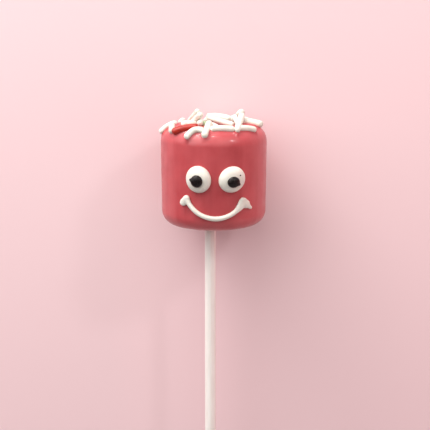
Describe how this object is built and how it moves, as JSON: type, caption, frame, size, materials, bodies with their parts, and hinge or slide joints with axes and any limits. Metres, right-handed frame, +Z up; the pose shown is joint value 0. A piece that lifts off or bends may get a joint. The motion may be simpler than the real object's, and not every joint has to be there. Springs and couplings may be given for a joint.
{
  "type": "marshmallow pop",
  "caption": "Marshmallow pop in rose-red candy coating, with sugar strands on top, a piped icing smiley face and a white paper stick.",
  "frame": {"origin": "centre of the rest flat on the back of the head", "axes": "+Z up out of the face, +Y from the stick towards the strand-covered top, +X to the right of someone who looks at the face with the stick towards them"},
  "size_m": [0.0337, 0.1119, 0.0358],
  "materials": {
    "candy_coating": "smooth rose-red candy melt coating, softly glossy",
    "stick_paper": "tightly rolled white paper, matt",
    "white_icing": "dried white royal icing, satin",
    "dark_icing": "dried near-black royal icing, satin"
  },
  "bodies": {
    "root": {"marshmallow": "candy_coating", "stick": "stick_paper", "eye_left": "white_icing", "eye_right": "white_icing", "pupil_left": "dark_icing", "pupil_right": "dark_icing", "smile": "white_icing"}
  },
  "joints": []
}
